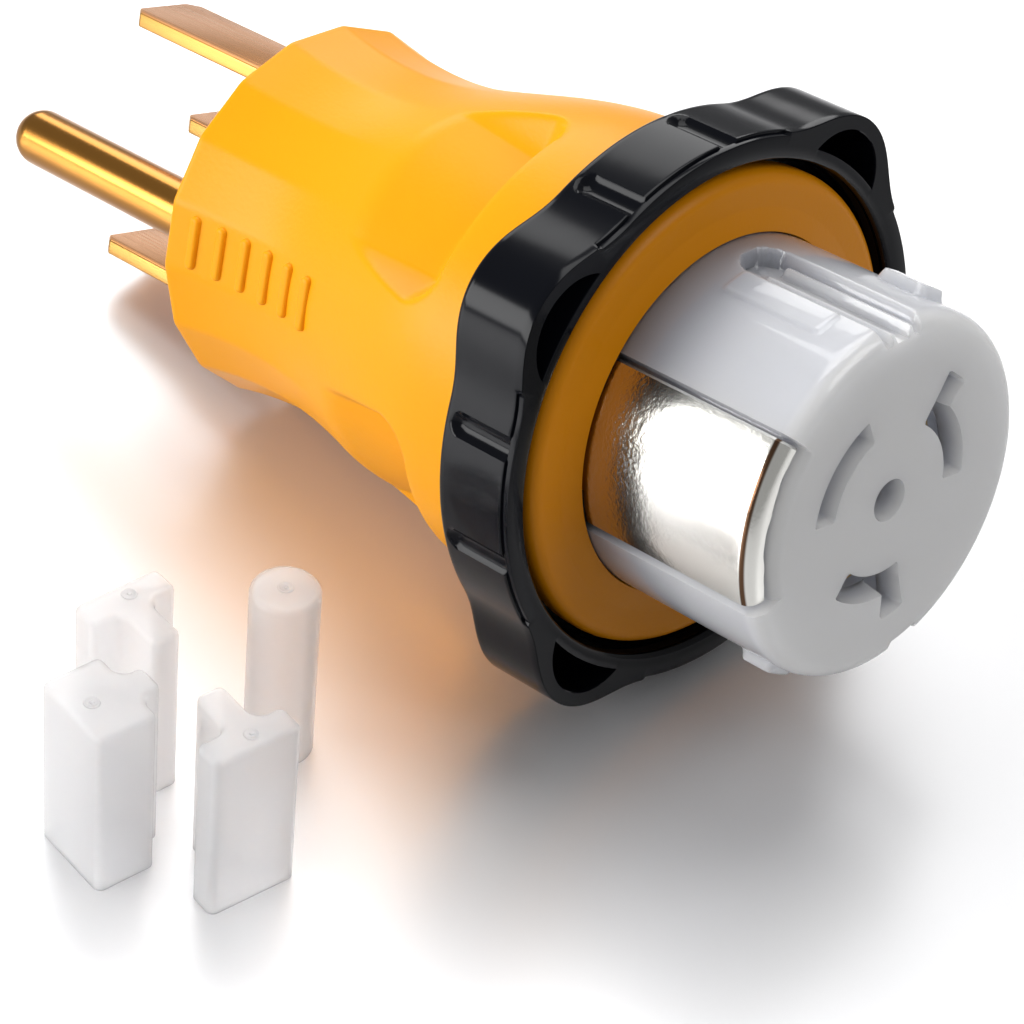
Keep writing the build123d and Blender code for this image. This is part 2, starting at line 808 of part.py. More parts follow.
# Blade caps: thin cups with a winged plan, open below, with the mark of the gate on top
cap_long = blade_width + 2 * (cap_play + cap_wall)
stem_side = cap_bar / 2 + 6.9
block_side = cap_block / 2 + 3.1
cap_plans = {
    "cap_hot_x": ((-3.2, -73.6), -7.0, [((0, 0), (cap_bar, cap_long)), ((-stem_side / 2, 0.3), (stem_side, cap_stem))]),
    "cap_hot_y": ((-19.1, -83.0), -5.7, [((0, 0), (cap_long, cap_block)), ((0.2, block_side / 2), (cap_bar, block_side))]),
    "cap_neutral": ((-30.8, -69.3), -5.0, [((0, 0), (cap_bar, cap_long)), ((stem_side / 2, 0), (stem_side, cap_stem))]),
}
for name, (place, heading, bars) in cap_plans.items():
    with BuildPart() as cap:
        with BuildSketch(Plane.XY):
            add(cap_shape(place, heading, bars, 0))
        extrude(amount=cap_height)
        fillet(cap.faces().sort_by(Axis.Z)[-1].edges(), cap_corner / 2)
        with BuildSketch(Plane.XY):
            add(cap_shape(place, heading, bars, cap_wall))
        extrude(amount=cap_height - cap_wall, mode=Mode.SUBTRACT)
        with BuildSketch(Plane.XY.offset(cap_height)):
            with Locations(place):
                Circle(gate_radius)
        extrude(amount=-gate_depth, mode=Mode.SUBTRACT)
    finish(name, cap.part)

# Pin cap: a round cup for the ground pin
pin_cap_place = (-18.8, -54.1)
pin_cap_radius = pin_radius + cap_play + cap_wall
with BuildPart() as cap_ground:
    with BuildSketch(Plane.XY):
        with Locations(pin_cap_place):
            Circle(pin_cap_radius)
    extrude(amount=pin_cap_height)
    fillet(cap_ground.faces().sort_by(Axis.Z)[-1].edges(), cap_corner)
    with BuildSketch(Plane.XY):
        with Locations(pin_cap_place):
            Circle(pin_radius + cap_play)
    extrude(amount=pin_cap_height - cap_wall, mode=Mode.SUBTRACT)
    with BuildSketch(Plane.XY.offset(pin_cap_height)):
        with Locations(pin_cap_place):
            Circle(gate_radius)
    extrude(amount=-gate_depth, mode=Mode.SUBTRACT)
finish("cap_ground", cap_ground.part)

# The origin is the middle of the footprint, on the floor
everything = Compound(children=[piece.moved(Location((0, 0, 0))) for piece in pieces])
box = everything.bounding_box()
to_origin = Location((-(box.min.X + box.max.X) / 2, -(box.min.Y + box.max.Y) / 2, -box.min.Z))

os.makedirs("parts", exist_ok=True)
for piece in pieces:
    placed = piece.moved(to_origin)
    placed.label = piece.label
    export_step(placed, "parts/" + piece.label + ".step")
    size = placed.bounding_box().size
    print(piece.label, len(placed.solids()), round(placed.volume), [round(value, 1) for value in size])
print("lean", round(lean, 3), "axis height", round(axis_height, 3), "moved", to_origin.position)
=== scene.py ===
import bmesh
import bpy
import json
import math
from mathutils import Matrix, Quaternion, Vector


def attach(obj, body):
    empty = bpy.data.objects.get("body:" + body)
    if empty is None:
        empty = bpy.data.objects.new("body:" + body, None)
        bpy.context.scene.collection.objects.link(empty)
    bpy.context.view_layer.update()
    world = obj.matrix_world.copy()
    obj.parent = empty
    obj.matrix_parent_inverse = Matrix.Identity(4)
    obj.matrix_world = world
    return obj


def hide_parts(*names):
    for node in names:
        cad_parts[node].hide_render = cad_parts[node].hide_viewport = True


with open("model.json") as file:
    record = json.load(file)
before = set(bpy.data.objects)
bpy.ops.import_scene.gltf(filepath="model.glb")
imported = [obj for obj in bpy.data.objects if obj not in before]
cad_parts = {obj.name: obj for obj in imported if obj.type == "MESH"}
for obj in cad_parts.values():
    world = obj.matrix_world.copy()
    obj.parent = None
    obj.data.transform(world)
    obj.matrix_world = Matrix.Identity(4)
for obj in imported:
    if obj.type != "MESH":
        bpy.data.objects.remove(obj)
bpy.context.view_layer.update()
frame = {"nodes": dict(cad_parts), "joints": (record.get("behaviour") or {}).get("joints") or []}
nodes = frame["nodes"]

# Body: one thick moulding of soft-sheened yellow plastic, faceted where the hand pulls the plug and
# flared to a shoulder with four finger scoops and six grip ribs. A neck in front of the shoulder
# carries the turning ring, and the flange beyond it keeps the ring on.
turning = frame["joints"][0]
axis_way = Vector(turning["axis"]).normalized()
ring_middle_station = -5.55
body_roll = math.radians(5.0)
side_way = Vector((0, 1, 0))
up_way = axis_way.cross(side_way)
clock_zero = side_way * math.cos(body_roll) - up_way * math.sin(body_roll)
clock_ninety = axis_way.cross(clock_zero)
mm = 0.001
flange_face = Vector(turning["pos_m"]) - axis_way * ring_middle_station * mm


def way_out(clock):
    turn = math.radians(clock)
    return clock_zero * math.cos(turn) + clock_ninety * math.sin(turn)


def spot(clock, radius, station):
    # A point by clock angle in degrees, radius and station in millimetres, as metres in the frame
    return flange_face + (way_out(clock) * radius + axis_way * station) * mm


def apart(clock, middle):
    # Signed difference of two clock angles in degrees
    return (clock - middle + 180) % 360 - 180


def soft_min(first, second, width):
    share = max(width - abs(first - second), 0) / width
    return min(first, second) - share * share * width / 4


def soft_step(value, start, end):
    share = min(1, max(0, (value - start) / (end - start)))
    return share * share * (3 - 2 * share)


def arc(middle, radius, start, end, count):
    # Points of an arc as pairs, angles in degrees
    turns = [math.radians(start + (end - start) * step / count) for step in range(count + 1)]
    return [(middle[0] + radius * math.cos(turn), middle[1] + radius * math.sin(turn)) for turn in turns]


class Wire:
    """A socket of a material's nodes, so that values on a surface are written as arithmetic."""

    def __init__(self, finish, end):
        self.finish = finish
        self.end = end

    def __add__(self, other):
        return self.finish.node("ShaderNodeMath", {"operation": "ADD"}, {0: self, 1: other})

    def __mul__(self, other):
        return self.finish.node("ShaderNodeMath", {"operation": "MULTIPLY"}, {0: self, 1: other})

    __radd__ = __add__
    __rmul__ = __mul__


class Finish:
    """A material built on the principled shader."""

    def __init__(self, name, **constants):
        self.material = bpy.data.materials.new(name)
        self.material.use_nodes = True
        self.tree = self.material.node_tree
        self.shader = self.tree.nodes["Principled BSDF"]
        self.show(**constants)

    def fill(self, socket, value):
        if isinstance(value, Wire):
            self.tree.links.new(value.end, socket)
        elif isinstance(value, tuple) and len(value) == 3 and len(socket.default_value) == 4:
            socket.default_value = (*value, 1)
        else:
            socket.default_value = value

    def node(self, kind, settings, inputs, output=0):
        made = self.tree.nodes.new(kind)
        for setting, value in settings.items():
            setattr(made, setting, value)
        for socket, value in inputs.items():
            self.fill(made.inputs[socket], value)
        return Wire(self, made.outputs[output])

    def place(self):
        return self.node("ShaderNodeTexCoord", {}, {}, "Object")

    def vector(self, operation, first, second, output=0):
        return self.node("ShaderNodeVectorMath", {"operation": operation}, {0: first, 1: second}, output)

    def along(self, way, start):
        # Distance in metres from a point, measured in a fixed direction of the piece
        from_start = self.vector("SUBTRACT", self.place(), tuple(start))
        return self.vector("DOT_PRODUCT", from_start, tuple(way), 1)

    def noise(self, scale, detail=2.0):
        place = self.place()
        return self.node("ShaderNodeTexNoise", {}, {"Vector": place, "Scale": scale, "Detail": detail})

    def streaks(self, scale):
        # Noise drawn out along the adapter, as the mill leaves it on bar and rod
        across = self.vector("CROSS_PRODUCT", self.place(), tuple(axis_way))
        return self.node("ShaderNodeTexNoise", {}, {"Vector": across, "Scale": scale, "Detail": 3.0})

    def span(self, value, low, high, start, end):
        return self.node(
            "ShaderNodeMapRange", {"interpolation_type": "SMOOTHSTEP"},
            {"Value": value, "From Min": low, "From Max": high, "To Min": start, "To Max": end},
        )

    def bump(self, height, strength, distance):
        sizes = {"Strength": strength, "Distance": distance}
        return self.node("ShaderNodeBump", {}, {"Height": height, **sizes})

    def mix(self, factor, first, second):
        return self.node("ShaderNodeMix", {"data_type": "RGBA"}, {"Factor": factor, 6: first, 7: second}, 2)

    def show(self, **values):
        for socket, value in values.items():
            self.fill(self.shader.inputs[socket.replace("_", " ")], value)


def dress(piece, finish, sharp=30):
    piece.data.materials.clear()
    piece.data.materials.append(finish.material)
    piece.data.shade_smooth()
    piece.data.set_sharp_from_angle(angle=math.radians(sharp))


def settle(name, form):
    # Turn worked mesh data into an object, with its faces looking outward
    bmesh.ops.recalc_face_normals(form, faces=form.faces)
    mesh = bpy.data.meshes.new(name)
    form.to_mesh(mesh)
    form.free()
    made = bpy.data.objects.new(name, mesh)
    bpy.context.scene.collection.objects.link(made)
    return made


def skin(form, rings, loop=False, ends=False):
    # Faces between rings of points, round each ring and from each ring to the next
    rows = [[form.verts.new(point) for point in ring] for ring in rings]
    pairs = list(zip(rows, rows[1:]))
    if loop:
        pairs.append((rows[-1], rows[0]))
    for first, second in pairs:
        for number in range(len(first)):
            after = (number + 1) % len(first)
            form.faces.new((first[number], first[after], second[after], second[number]))
    if ends:
        form.faces.new(rows[0])
        form.faces.new(rows[-1])
    return rows


plug_clock = 168.8
plug_sides = 18
facet_half = 180 / plug_sides
body_end = -75.0
body_waist = -60.0
shoulder_start = -21.0
shoulder_front = -13.0
waist_radius = 24.8
plug_radius = 26.6
shoulder_radius = 31.3
scoop_clocks = (122.0, 212.0, 302.0, 32.0)
scoop_rear = -43.0
scoop_low = -28.5
scoop_front = -23.6
scoop_floor = 25.3
scoop_flat = 22.5
scoop_wall = 10.0
scoop_wall_rise = 6.5
scoop_crown = 0.25
scoop_blend = 0.8
facet_blend = 0.22
facets_fade = -68.0
facets_gone = -40.0
insert_seat = -66.0
insert_bore = 23.5
neck_radius = 29.2
flange_rear = -4.0
flange_radius = 31.8
flange_round = 1.9
collar_rise = 0.8
barrel_bore = 24.1
collar_seat = -16.0
collar_bore = 26.5
collar_rear = -24.0
cavity_radius = 21.2


def corner_radius(station):
    if station < body_waist:
        back = (body_waist - station) / (body_waist - body_end)
        return waist_radius + (plug_radius - waist_radius) * back ** 2
    share = min(1, (station - body_waist) / (shoulder_start - body_waist))
    return waist_radius + (shoulder_radius - waist_radius) * math.sin(math.pi / 2 * share) ** 2


def outer_radius(clock, station):
    corner = corner_radius(station)
    flat = corner * math.cos(math.radians(facet_half))
    offset = abs((clock - plug_clock + facet_half) % (2 * facet_half) - facet_half)
    here = flat / math.cos(math.radians(offset))
    beside = flat / math.cos(math.radians(2 * facet_half - offset))
    facet = soft_min(here, beside, facet_blend)
    surface = facet + (corner - facet) * soft_step(station, facets_fade, facets_gone)
    rear_height = corner_radius(scoop_rear)
    if station < scoop_low:
        fall = (scoop_low - station) / (scoop_low - scoop_rear)
        floor_height = scoop_floor + (rear_height - scoop_floor) * fall
    else:
        rise = (station - scoop_low) / (scoop_front - scoop_low)
        floor_height = scoop_floor + (shoulder_radius - scoop_floor) * rise ** 1.9
    nearest = min(abs(apart(clock, middle)) for middle in scoop_clocks)
    bowl = floor_height * (1 + scoop_crown * (1 / math.cos(math.radians(nearest)) - 1))
    bowl += scoop_wall_rise * max(0, (nearest - scoop_flat) / scoop_wall) ** 1.7
    return soft_min(surface, bowl, scoop_blend)


def clocks(count):
    return [plug_clock + 360 * number / count for number in range(count)]


def ring_of(count, station, radius):
    return [spot(clock, radius, station) for clock in clocks(count)]


body_count = 540
rim_round = 0.6
body_rings = []
for station, radius in (
    (insert_seat, insert_bore), (body_end + 0.3, insert_bore), (body_end + 0.06, insert_bore + 0.06),
    (body_end, insert_bore + 0.3),
):
    body_rings.append(ring_of(body_count, station, radius))
for inward, up in ((0.62, 0.0), (0.4, 0.05), (0.2, 0.16), (0.06, 0.34)):
    body_rings.append([
        spot(clock, outer_radius(clock, body_end + rim_round) - inward, body_end + up)
        for clock in clocks(body_count)
    ])
for step in range(137):
    station = body_end + rim_round + 0.45 * step
    body_rings.append([spot(clock, outer_radius(clock, station), station) for clock in clocks(body_count)])
shoulder_edge = [
    (shoulder_front - 0.3, shoulder_radius - 0.05), (shoulder_front - 0.08, shoulder_radius - 0.15),
    (shoulder_front, shoulder_radius - 0.4), (shoulder_front, neck_radius),
]
flange_back = [
    (flange_rear, neck_radius), (flange_rear, flange_radius - 0.3), (flange_rear + 0.3, flange_radius),
]
flange_edge = arc((-flange_round, flange_radius - flange_round), flange_round, 90, 0, 8)
flange_collar = [
    (0.0, barrel_bore + 3.2), (0.05, barrel_bore + 2.9), (collar_rise - 0.05, barrel_bore + 0.3),
    (collar_rise, barrel_bore + 0.1), (collar_rise - 0.1, barrel_bore),
]
inside = [
    (collar_seat, barrel_bore), (collar_seat, collar_bore), (collar_rear, collar_bore),
    (collar_rear, cavity_radius), (insert_seat, cavity_radius),
]
for station, radius in shoulder_edge + flange_back + flange_edge + flange_collar + inside:
    body_rings.append(ring_of(body_count, station, radius))
body_form = bmesh.new()
skin(body_form, body_rings, loop=True)

# Grip ribs of the same moulding, each a rounded bar across the facet
rib_half_length = 3.7
rib_half_width = 0.78
rib_height = 0.62
rib_count = 6
rib_start = -70.6
rib_pitch = 4.5
rib_profile = (
    (-1.2, -0.05), (0.0, -0.05), (0.2, 0.0), (0.4, 0.09), (0.54, 0.24), (0.6, 0.42), (rib_height, 0.7),
)
for number in range(rib_count):
    rib_station = rib_start + rib_pitch * number
    rib_corner = corner_radius(rib_station)
    rib_base = rib_corner * math.cos(math.radians(facet_half))
    rib_base += (rib_corner - rib_base) * soft_step(rib_station, facets_fade, facets_gone)
    bar_rings = []
    for lift, inset in rib_profile:
        half_width = max(0.02, rib_half_width - inset)
        straight = rib_half_length - rib_half_width
        oval = arc((0, straight), half_width, 0, 180, 12) + arc((0, -straight), half_width, 180, 360, 12)
        bar_rings.append([
            spot(plug_clock, rib_base + lift, rib_station + along)
            + way_out(plug_clock + 90) * across * mm for along, across in oval
        ])
    skin(body_form, bar_rings, ends=True)
body = settle("body_visual", body_form)
yellow = Finish(
    "yellow_shell", Roughness=0.34, Subsurface_Weight=0.06, Subsurface_Radius=(1.0, 0.45, 0.08),
    Subsurface_Scale=0.001, Specular_IOR_Level=0.16,
)
grain = yellow.noise(1700, 4)
# Painted shade: from the flange's rear face forward the yellow turns a deeper orange, standing in for the
# shade of the ring and barrel on the flange
flange_shade_mask = yellow.span(
    yellow.along(axis_way, flange_face), (flange_rear - 1) * mm, (flange_rear - 0.2) * mm, 0, 1,
)
body_colour = yellow.mix(yellow.noise(45), (0.95, 0.37, 0.004), (0.97, 0.395, 0.006))
flange_painted_shade = (0.66, 0.235, 0.002)
yellow.show(
    Base_Color=yellow.mix(flange_shade_mask, body_colour, flange_painted_shade),
    Normal=yellow.bump(grain, 0.22, 0.00012),
)
dress(body, yellow, 35)
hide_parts("body_shell")
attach(body, "adapter")

# Locking ring: glossy black moulding that turns on the neck between shoulder and flange. Four hollow
# lobes and eight grip grooves give the fingers hold, and the bore carries the thread of the coupling.
ring_radius = 36.8
lobe_clocks = (51.2, 141.2, 231.2, 321.2)
gripped_lobes = lobe_clocks[1::2]
lobe_offset = 31.7
lobe_radius = 9.5
lobe_blend = 5.0
lobe_hollow = 7.7
collar_radius = 35.0
bore_radius = 33.3
ring_rear = -11.4
ring_front = 0.3
pocket_bottom = -8.4
groove_clocks = [lobe + spread for lobe in gripped_lobes for spread in (-51.4, -26.2, 26.2, 51.4)]
groove_radius = 2.0
groove_end = -8.3
groove_middle = 37.9
step_depth = 0.9
step_width = 0.4
step_clocks = [lobe + spread for lobe in gripped_lobes for spread in (-41.4, 41.4)]
step_half = 26.5
step_blend = 0.3
thread_pitch = 2.0
thread_depth = 0.16
thread_end = -8.2
neck_bore = 29.5


def lobed_radius(clock):
    # Outline of the ring: a round blended with the nearest lobe, found by halving
    offset = math.radians(min(abs(apart(clock, lobe)) for lobe in lobe_clocks))
    low, high = ring_radius - 1, lobe_offset + lobe_radius + 1
    for _ in range(24):
        middle = (low + high) / 2
        square = middle**2 + lobe_offset**2 - 2 * middle * lobe_offset * math.cos(offset)
        if soft_min(middle - ring_radius, math.sqrt(square) - lobe_radius, lobe_blend) < 0:
            low = middle
        else:
            high = middle
    return low


def grooved_radius(clock, station, outline):
    across = ring_radius * math.radians(min(abs(apart(clock, groove)) for groove in groove_clocks))
    past = max(0, groove_end - station)
    room = groove_radius**2 - across**2 - past**2
    if room <= 0:
        return outline
    return min(outline, groove_middle - math.sqrt(room))


def pocket_edges(clock):
    # Outer and inner radius of the hollow in a lobe, the same where there is none
    offset = math.radians(min(abs(apart(clock, lobe)) for lobe in lobe_clocks))
    reach = lobe_hollow**2 - (lobe_offset * math.sin(offset)) ** 2
    if reach > 0:
        far = lobe_offset * math.cos(offset) + math.sqrt(reach)
        if far > collar_radius + 0.05:
            return far, collar_radius, 1
    return collar_radius, collar_radius, 0


ring_count = 900
ring_clocks = clocks(ring_count)
outlines = [lobed_radius(clock) for clock in ring_clocks]
to_step = [min(abs(apart(clock, middle)) for middle in step_clocks) for clock in ring_clocks]
steps = [1 - soft_step(gap, step_half - step_blend, step_half + step_blend) for gap in to_step]
pockets = [pocket_edges(clock) for clock in ring_clocks]
ring_rings = []
for up, inward in ((0.0, 0.8), (0.06, 0.5), (0.24, 0.24), (0.5, 0.06)):
    ring_rings.append([
        spot(clock, outline - inward, ring_rear + up) for clock, outline in zip(ring_clocks, outlines)
    ])
for step in range(25):
    station = ring_rear + 0.8 + 0.4 * step
    ring_rings.append([
        spot(clock, grooved_radius(clock, station, outline), station)
        for clock, outline in zip(ring_clocks, outlines)
    ])
for drop, inward in ((0.14, 0.0), (0.04, 0.04), (0.0, 0.14)):
    ring_rings.append([
        spot(clock, grooved_radius(clock, 0, outline) - inward, ring_front - drop - step_depth * step)
        for clock, outline, step in zip(ring_clocks, outlines, steps)
    ])
for drop, inward in ((step_depth, 0.02), (0.14, 0.02), (0.04, 0.06), (0.0, 0.16)):
    ring_rings.append([
        spot(clock, outline - inward - step_width * max(step, 0.2), ring_front - drop * step)
        for clock, outline, step in zip(ring_clocks, outlines, steps)
    ])
# Down the outer wall of the pockets, across their floor and up the inner wall
outer_wall, inner_wall = 0, 1
for wall, inward, station in (
    (outer_wall, 0.0, ring_front), (outer_wall, 0.12, ring_front - 0.12),
    (outer_wall, 0.15, ring_front - 0.5), (outer_wall, 0.2, pocket_bottom + 0.4),
    (outer_wall, 0.6, pocket_bottom), (inner_wall, -0.3, pocket_bottom),
    (inner_wall, -0.1, pocket_bottom + 0.4), (inner_wall, -0.08, ring_front - 0.3),
    (inner_wall, -0.02, ring_front - 0.08), (inner_wall, 0.15, ring_front),
):
    row = []
    for clock, edges in zip(ring_clocks, pockets):
        if edges[2]:
            row.append(spot(clock, edges[wall] - inward, station))
        else:
            row.append(spot(clock, edges[wall] - 0.01 * wall, ring_front))
    ring_rings.append(row)
ring_rings.append(ring_of(ring_count, ring_front, bore_radius + 0.5))
ring_rings.append(ring_of(ring_count, ring_front - 0.3, bore_radius + 0.1))
for step in range(30):
    station = ring_front - 0.5 - 0.26 * step
    row = []
    for clock in ring_clocks:
        thread = thread_depth * math.sin(2 * math.pi * (station / thread_pitch + clock / 360))
        row.append(spot(clock, bore_radius + thread, station))
    ring_rings.append(row)
for station, radius in ((thread_end, bore_radius), (thread_end, neck_bore), (ring_rear, neck_bore)):
    ring_rings.append(ring_of(ring_count, station, radius))
ring_form = bmesh.new()
skin(ring_form, ring_rings, loop=True)
ring = settle("ring_visual", ring_form)
black = Finish("black_ring", Roughness=0.15, Specular_IOR_Level=0.15)
black.show(
    Base_Color=black.mix(black.noise(70), (0.0020, 0.0024, 0.0042), (0.003, 0.0036, 0.006)),
    Normal=black.bump(black.noise(160, 1), 0.05, 0.0004),
)
dress(ring, black, 40)
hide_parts("locking_ring")
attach(ring, "ring")

# Connector barrel: a cup of milky translucent nylon with a keyway and rails on top, a second keyway
# below, a window for the ground plate and three curved slots in its face. Its collar is held behind
# the flange.
barrel_radius = 24.0
barrel_front = 28.8
face_round = 2.4
window_clock = 169.5
window_half = 29.0
window_floor = 22.4
lip_back = 26.4
lip_floor = 20.7
lip_round = 1.6
slots = ((113.0, 174.0, 0), (-4.0, 56.0, 1), (231.0, 284.0, 1))
slot_inner = 10.2
slot_outer = 13.4
slot_half_width = 1.6
slot_corner = 0.3
slot_wing = 17.0
wing_span = 12.0
centre_hole = 2.6
keyway_clock = 90.0
keyway_start = 4.0
keyway_half = 3.5
keyway_floor = 21.8
rail_middle = 20.0
rail_half_length = 11.5
rail_half_width = 0.4
rail_height = 1.3
rail_offset = 1.75
lower_clock = 283.6
lower_half = 2.7
lower_floor = 21.7
run_out = 30.0


def box_gap(x, y, half_x, half_y, corner):
    # Signed distance to a rectangle with rounded corners, negative inside
    side_x, side_y = abs(x) - half_x + corner, abs(y) - half_y + corner
    return math.hypot(max(side_x, 0), max(side_y, 0)) + min(max(side_x, side_y), 0) - corner


# What stands up on the barrel: clock, station, half width, half length, corner, height and flank
raised_places = (
    (104.0, 14.4, 2.0, 7.5, 0.5, 0.35, 0.15),
    (60.0, 19.5, 2.5, 3.5, 1.0, 1.4, 0.3),
    (242.0, 21.3, 2.5, 2.5, 1.0, 1.4, 0.3),
)


def barrel_surface(clock, station):
    def across(middle):
        return barrel_radius * math.radians(apart(clock, middle))

    radius = barrel_radius
    for middle, along, half_width, half_length, corner, height, flank in raised_places:
        raised = box_gap(across(middle), station - along, half_width, half_length, corner)
        radius += height * (1 - soft_step(raised, -flank, flank + 0.05))
    beside = abs(across(window_clock)) - barrel_radius * math.radians(window_half)
    in_window = 1 - soft_step(beside, -0.16, 0.12)
    sunk = window_floor - (window_floor - lip_floor) * soft_step(station, lip_back - 0.5, lip_back)
    if station > barrel_front - lip_round:
        over = station - barrel_front + lip_round
        sunk = lip_floor - lip_round + math.sqrt(max(0, lip_round**2 - over**2))
    radius += (sunk - radius) * in_window
    past_start = station - keyway_start - run_out
    keyway = box_gap(across(keyway_clock), past_start, keyway_half, run_out, keyway_half - 0.1)
    floor_radius = keyway_floor
    for side in (-rail_offset, rail_offset):
        beside = across(keyway_clock) - side
        rail = box_gap(beside, station - rail_middle, rail_half_width, rail_half_length, 0.3)
        floor_radius += rail_height * (1 - soft_step(rail, -0.2, 0.2))
    radius += (floor_radius - radius) * (1 - soft_step(keyway, -0.2, 0.15))
    lower = box_gap(across(lower_clock), past_start, lower_half, run_out, lower_half - 0.1)
    radius += (lower_floor - radius) * (1 - soft_step(lower, -0.25, 0.5))
    if station > barrel_front - face_round:
        over = station - barrel_front + face_round
        radius = min(radius, barrel_radius - face_round + math.sqrt(max(0, face_round**2 - over**2)))
    return radius


def slot_gap(clock, radius):
    # Signed distance to the nearest slot of the face or its centre hole, negative inside
    gap = radius - centre_hole
    for start, end, winged in slots:
        along = radius * math.radians(apart(clock, (start + end) / 2))
        half_length = radius * math.radians((end - start) / 2)
        out = radius - (slot_inner + slot_outer) / 2
        gap = min(gap, box_gap(along, out, half_length, slot_half_width, slot_corner))
        if winged:
            along = radius * math.radians(apart(clock, end - wing_span / 2))
            half_length = radius * math.radians(wing_span / 2)
            out = radius - (slot_inner + slot_wing) / 2
            gap = min(gap, box_gap(along, out, half_length, (slot_wing - slot_inner) / 2, slot_corner))
    return gap


barrel_count = 540
barrel_clocks = clocks(barrel_count)
barrel_rings = []
face_back = 25.3
cup_bore = 20.6
cup_corner = 20.3
carrier_seat = -3.0
carrier_bore = 21.6
barrel_rear = -20.0
barrel_collar = 26.4
for station, radius in (
    (face_back, cup_corner), (face_back - 0.4, cup_bore), (carrier_seat, cup_bore),
    (carrier_seat, carrier_bore), (barrel_rear, carrier_bore), (barrel_rear, barrel_collar),
    (collar_seat, barrel_collar), (collar_seat, barrel_radius),
):
    barrel_rings.append(ring_of(barrel_count, station, radius))
round_turns = [math.radians(9 * step) for step in range(1, 10)]
barrel_stations = [-2.0, -0.5] + [0.3 + 0.36 * step for step in range(73)]
barrel_stations += [barrel_front - face_round + face_round * math.sin(turn) for turn in round_turns]
for station in barrel_stations:
    barrel_rings.append([spot(clock, barrel_surface(clock, station), station) for clock in barrel_clocks])
# The face's rings lie close together at the edges of its slots and holes
face_radii = [21.4, 20.9, 20.2, 19.4, 18.6, 17.9, 16.1, 15.2, 14.3, 12.6, 11.8, 11.0]
face_radii += [9.3, 7.8, 6.3, 4.8, 3.5, 1.6, 0.8]
for edge in (slot_wing, slot_outer, slot_inner, centre_hole):
    face_radii += [edge + 0.1 * part for part in range(-3, 4)]
face_radii.sort(reverse=True)
gaps = [[slot_gap(clock, radius) for clock in barrel_clocks] for radius in face_radii]
front_edge = [barrel_surface(clock, barrel_front) for clock in barrel_clocks]
first_face_row = len(barrel_rings)
for radius, row in zip(face_radii, gaps):
    face_ring = []
    for clock, edge, gap in zip(barrel_clocks, front_edge, row):
        sink = (barrel_front - face_back) * (1 - soft_step(gap, -0.2, 0.2))
        face_ring.append(spot(clock, min(radius, edge), barrel_front - sink))
    barrel_rings.append(face_ring)
inner_radii = [radius for radius in reversed(face_radii) if radius < cup_corner - 0.05]
for radius in inner_radii:
    barrel_rings.append(ring_of(barrel_count, face_back, radius))
barrel_form = bmesh.new()
barrel_rows = skin(barrel_form, barrel_rings, loop=True)
# The slots and holes go right through: what lies inside them is taken off in front and behind
open_points = set()
for number, row in enumerate(gaps):
    places = [first_face_row + number]
    if face_radii[number] < cup_corner - 0.05:
        places.append(len(barrel_rings) - 1 - (number - len(face_radii) + len(inner_radii)))
    for place in places:
        open_points.update(point for point, gap in zip(barrel_rows[place], row) if gap <= -0.2)
through = [face for face in barrel_form.faces if all(point in open_points for point in face.verts)]
bmesh.ops.delete(barrel_form, geom=through, context="FACES")
bmesh.ops.remove_doubles(barrel_form, verts=barrel_form.verts[:], dist=0.002 * mm)
barrel = settle("barrel_visual", barrel_form)
milky = Finish(
    "clear_barrel", Roughness=0.26, Transmission_Weight=0.2, IOR=1.35, Subsurface_Weight=1.0,
    Subsurface_Radius=(0.95, 0.97, 1.0), Subsurface_Scale=0.008, Coat_Weight=0.7, Coat_Roughness=0.04,
)
# Painted shade and light: the colour darkens toward the flange as painted shade, and turns near white at the
# face as painted light standing in for light passing through the plastic
toward_face = milky.along(axis_way, flange_face)
flange_shade_fade = milky.span(toward_face, -0.001, 0.017, 0, 1)
face_painted_light = milky.span(toward_face, 0.0262, 0.0286, 0, 1)
side_painted_shade = milky.mix(flange_shade_fade, (0.24, 0.25, 0.28), (0.72, 0.735, 0.79))
milky.show(
    Base_Color=milky.mix(face_painted_light, side_painted_shade, (0.96, 0.96, 0.98)),
    Normal=milky.bump(milky.noise(150, 1), 0.08, 0.0006),
)
dress(barrel, milky, 50)
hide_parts("connector_barrel")
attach(barrel, "adapter")

